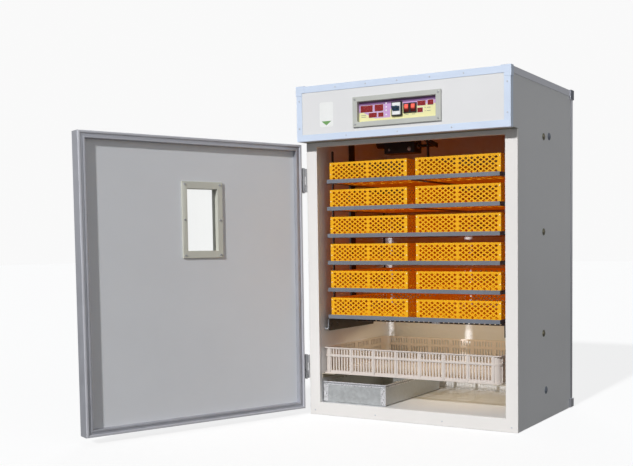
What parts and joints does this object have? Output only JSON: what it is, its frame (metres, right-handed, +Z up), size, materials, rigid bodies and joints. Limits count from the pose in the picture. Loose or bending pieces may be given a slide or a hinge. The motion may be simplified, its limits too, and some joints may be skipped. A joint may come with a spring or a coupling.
{
  "type": "egg incubator",
  "caption": "Cabinet egg incubator with a windowed door, a header control panel, tilting levels of perforated egg trays, a slatted hatching basket and a humidity pan.",
  "frame": {"origin": "on the floor under the middle of the cabinet body's footprint, on the underside of the base panel", "axes": "+Z up, -Y out of the cabinet's front, +X to the right as seen from the front; at rest the door stands open 112.6 degrees on its left hinges, the rack is level and the basket and pan are in"},
  "size_m": [1.3693, 1.5251, 1.3505],
  "materials": {
    "panel_white": "satin",
    "frame_white": "satin",
    "soffit_paint": "matte",
    "film_trim": "satin",
    "aluminium_trim": "satin",
    "grey_plastic": "satin",
    "faceplate_print": "satin",
    "black_plastic": "satin",
    "white_plastic": "gloss",
    "blue_plastic": "gloss",
    "red_plastic": "gloss",
    "dark_steel": "satin",
    "grey_paint": "satin",
    "tray_plastic": "satin",
    "basket_plastic": "satin",
    "galvanised": "satin",
    "zinc_steel": "satin",
    "brass": "satin",
    "door_skin": "satin",
    "seal_rubber": "matte",
    "cream_plastic": "satin",
    "pane_glass": "polished"
  },
  "bodies": {
    "cabinet": {"base_panel": "panel_white", "side_panel_left": "panel_white", "side_panel_right": "panel_white", "rear_panel": "panel_white", "roof_panel": "panel_white", "front_frame": "frame_white", "header_panel": "panel_white", "header_soffit": "soffit_paint", "header_trim": "film_trim", "edge_trim": "aluminium_trim", "control_bezel": "grey_plastic", "control_faceplate": "faceplate_print", "controller_box": "black_plastic", "breaker_body": "white_plastic", "rack_stand": "dark_steel", "turning_gearmotor": "black_plastic", "basket_ledge": "frame_white", "fan_frame": "black_plastic", "heater_element": "zinc_steel", "lower_hinge_frame_leaf": "zinc_steel", "upper_hinge_frame_leaf": "zinc_steel"},
    "door": {"door_rim": "aluminium_trim", "door_panel": "door_skin", "door_seal": "seal_rubber", "window_frame": "cream_plastic", "window_glass": "pane_glass", "door_handle": "black_plastic", "lower_hinge_door_leaf": "zinc_steel", "upper_hinge_door_leaf": "zinc_steel"},
    "level_1": {"level_frame_1": "grey_paint", "egg_tray_1_left": "tray_plastic", "egg_tray_1_right": "tray_plastic"},
    "level_2": {"level_frame_2": "grey_paint", "egg_tray_2_left": "tray_plastic", "egg_tray_2_right": "tray_plastic"},
    "level_3": {"level_frame_3": "grey_paint", "egg_tray_3_left": "tray_plastic", "egg_tray_3_right": "tray_plastic"},
    "level_4": {"level_frame_4": "grey_paint", "egg_tray_4_left": "tray_plastic", "egg_tray_4_right": "tray_plastic"},
    "level_5": {"level_frame_5": "grey_paint", "egg_tray_5_left": "tray_plastic", "egg_tray_5_right": "tray_plastic"},
    "level_6": {"level_frame_6": "grey_paint", "egg_tray_6_left": "tray_plastic", "egg_tray_6_right": "tray_plastic"},
    "link_front_left": {"link_bar_front_left": "dark_steel"},
    "link_rear_left": {"link_bar_rear_left": "dark_steel"},
    "link_front_right": {"link_bar_front_right": "dark_steel"},
    "link_rear_right": {"link_bar_rear_right": "dark_steel"},
    "crank": {"crank_lever": "zinc_steel"},
    "rod": {"connecting_rod": "zinc_steel"},
    "basket": {"hatching_basket": "basket_plastic"},
    "pan": {"water_pan": "galvanised"},
    "float": {"float_arm": "brass"},
    "impeller": {"fan_impeller": "black_plastic"},
    "breaker_switch": {"breaker_toggle": "blue_plastic"},
    "power_switch": {"power_rocker": "red_plastic"},
    "lamp_switch": {"lamp_rocker": "red_plastic"}
  },
  "joints": [
    {"name": "door_swing", "type": "hinge", "parent": "cabinet", "child": "door", "pos_m": [-0.476, -0.329, 0.575], "axis": [0, 0, -1], "range_deg": [-112.6, 40]},
    {"name": "rack_tilt", "type": "hinge", "parent": "cabinet", "child": "level_1", "pos_m": [0, -0.038, 0.9695], "axis": [1, 0, 0], "range_deg": [-26, 26]},
    {"name": "level_2_tilt", "type": "hinge", "parent": "cabinet", "child": "level_2", "pos_m": [0, -0.038, 0.8579], "axis": [1, 0, 0], "range_deg": [-26, 26]},
    {"name": "level_3_tilt", "type": "hinge", "parent": "cabinet", "child": "level_3", "pos_m": [0, -0.038, 0.7463], "axis": [1, 0, 0], "range_deg": [-26, 26]},
    {"name": "level_4_tilt", "type": "hinge", "parent": "cabinet", "child": "level_4", "pos_m": [0, -0.038, 0.6347], "axis": [1, 0, 0], "range_deg": [-26, 26]},
    {"name": "level_5_tilt", "type": "hinge", "parent": "cabinet", "child": "level_5", "pos_m": [0, -0.038, 0.5231], "axis": [1, 0, 0], "range_deg": [-26, 26]},
    {"name": "level_6_tilt", "type": "hinge", "parent": "cabinet", "child": "level_6", "pos_m": [0, -0.038, 0.4115], "axis": [1, 0, 0], "range_deg": [-26, 26]},
    {"name": "link_front_left_pivot", "type": "hinge", "parent": "level_1", "child": "link_front_left", "pos_m": [-0.389, -0.24, 0.9695], "axis": [1, 0, 0], "range_deg": [-26, 26]},
    {"name": "link_rear_left_pivot", "type": "hinge", "parent": "level_1", "child": "link_rear_left", "pos_m": [-0.389, 0.192, 0.9695], "axis": [1, 0, 0], "range_deg": [-26, 26]},
    {"name": "link_front_right_pivot", "type": "hinge", "parent": "level_1", "child": "link_front_right", "pos_m": [0.389, -0.24, 0.9695], "axis": [1, 0, 0], "range_deg": [-26, 26]},
    {"name": "link_rear_right_pivot", "type": "hinge", "parent": "level_1", "child": "link_rear_right", "pos_m": [0.389, 0.192, 0.9695], "axis": [1, 0, 0], "range_deg": [-26, 26]},
    {"name": "crank_turn", "type": "hinge", "parent": "cabinet", "child": "crank", "pos_m": [0, -0.038, 1.12], "axis": [1, 0, 0], "range_deg": [-26, 26]},
    {"name": "rod_pivot", "type": "hinge", "parent": "level_1", "child": "rod", "pos_m": [0, -0.138, 0.9835], "axis": [1, 0, 0], "range_deg": [-26, 26]},
    {"name": "basket_slide", "type": "slide", "parent": "cabinet", "child": "basket", "axis": [0, -1, 0], "range_m": [0, 0.4]},
    {"name": "pan_slide", "type": "slide", "parent": "cabinet", "child": "pan", "axis": [0, -1, 0], "range_m": [0, 0.4]},
    {"name": "float_hinge", "type": "hinge", "parent": "pan", "child": "float", "pos_m": [-0.215, 0.096, 0.112], "axis": [-1, 0, 0], "range_deg": [0, 14]},
    {"name": "fan_spin", "type": "hinge", "parent": "cabinet", "child": "impeller", "pos_m": [0.15, 0.06, 1.228], "axis": [0, 0, 1], "continuous": true},
    {"name": "breaker_throw", "type": "hinge", "parent": "cabinet", "child": "breaker_switch", "pos_m": [-0.0045, -0.3845, 1.228], "axis": [1, 0, 0], "range_deg": [0, 42]},
    {"name": "power_rocker_tilt", "type": "hinge", "parent": "cabinet", "child": "power_switch", "pos_m": [0.037, -0.3745, 1.228], "axis": [-1, 0, 0], "range_deg": [0, 16]},
    {"name": "lamp_rocker_tilt", "type": "hinge", "parent": "cabinet", "child": "lamp_switch", "pos_m": [0.0655, -0.3745, 1.228], "axis": [-1, 0, 0], "range_deg": [0, 16]}
  ],
  "couplings": [
    {"joint": "level_2_tilt", "follows": "rack_tilt", "ratio": 1},
    {"joint": "level_3_tilt", "follows": "rack_tilt", "ratio": 1},
    {"joint": "level_4_tilt", "follows": "rack_tilt", "ratio": 1},
    {"joint": "level_5_tilt", "follows": "rack_tilt", "ratio": 1},
    {"joint": "level_6_tilt", "follows": "rack_tilt", "ratio": 1},
    {"joint": "link_front_left_pivot", "follows": "rack_tilt", "ratio": -1},
    {"joint": "link_rear_left_pivot", "follows": "rack_tilt", "ratio": -1},
    {"joint": "link_front_right_pivot", "follows": "rack_tilt", "ratio": -1},
    {"joint": "link_rear_right_pivot", "follows": "rack_tilt", "ratio": -1},
    {"joint": "crank_turn", "follows": "rack_tilt", "ratio": 1},
    {"joint": "rod_pivot", "follows": "rack_tilt", "ratio": -1}
  ]
}
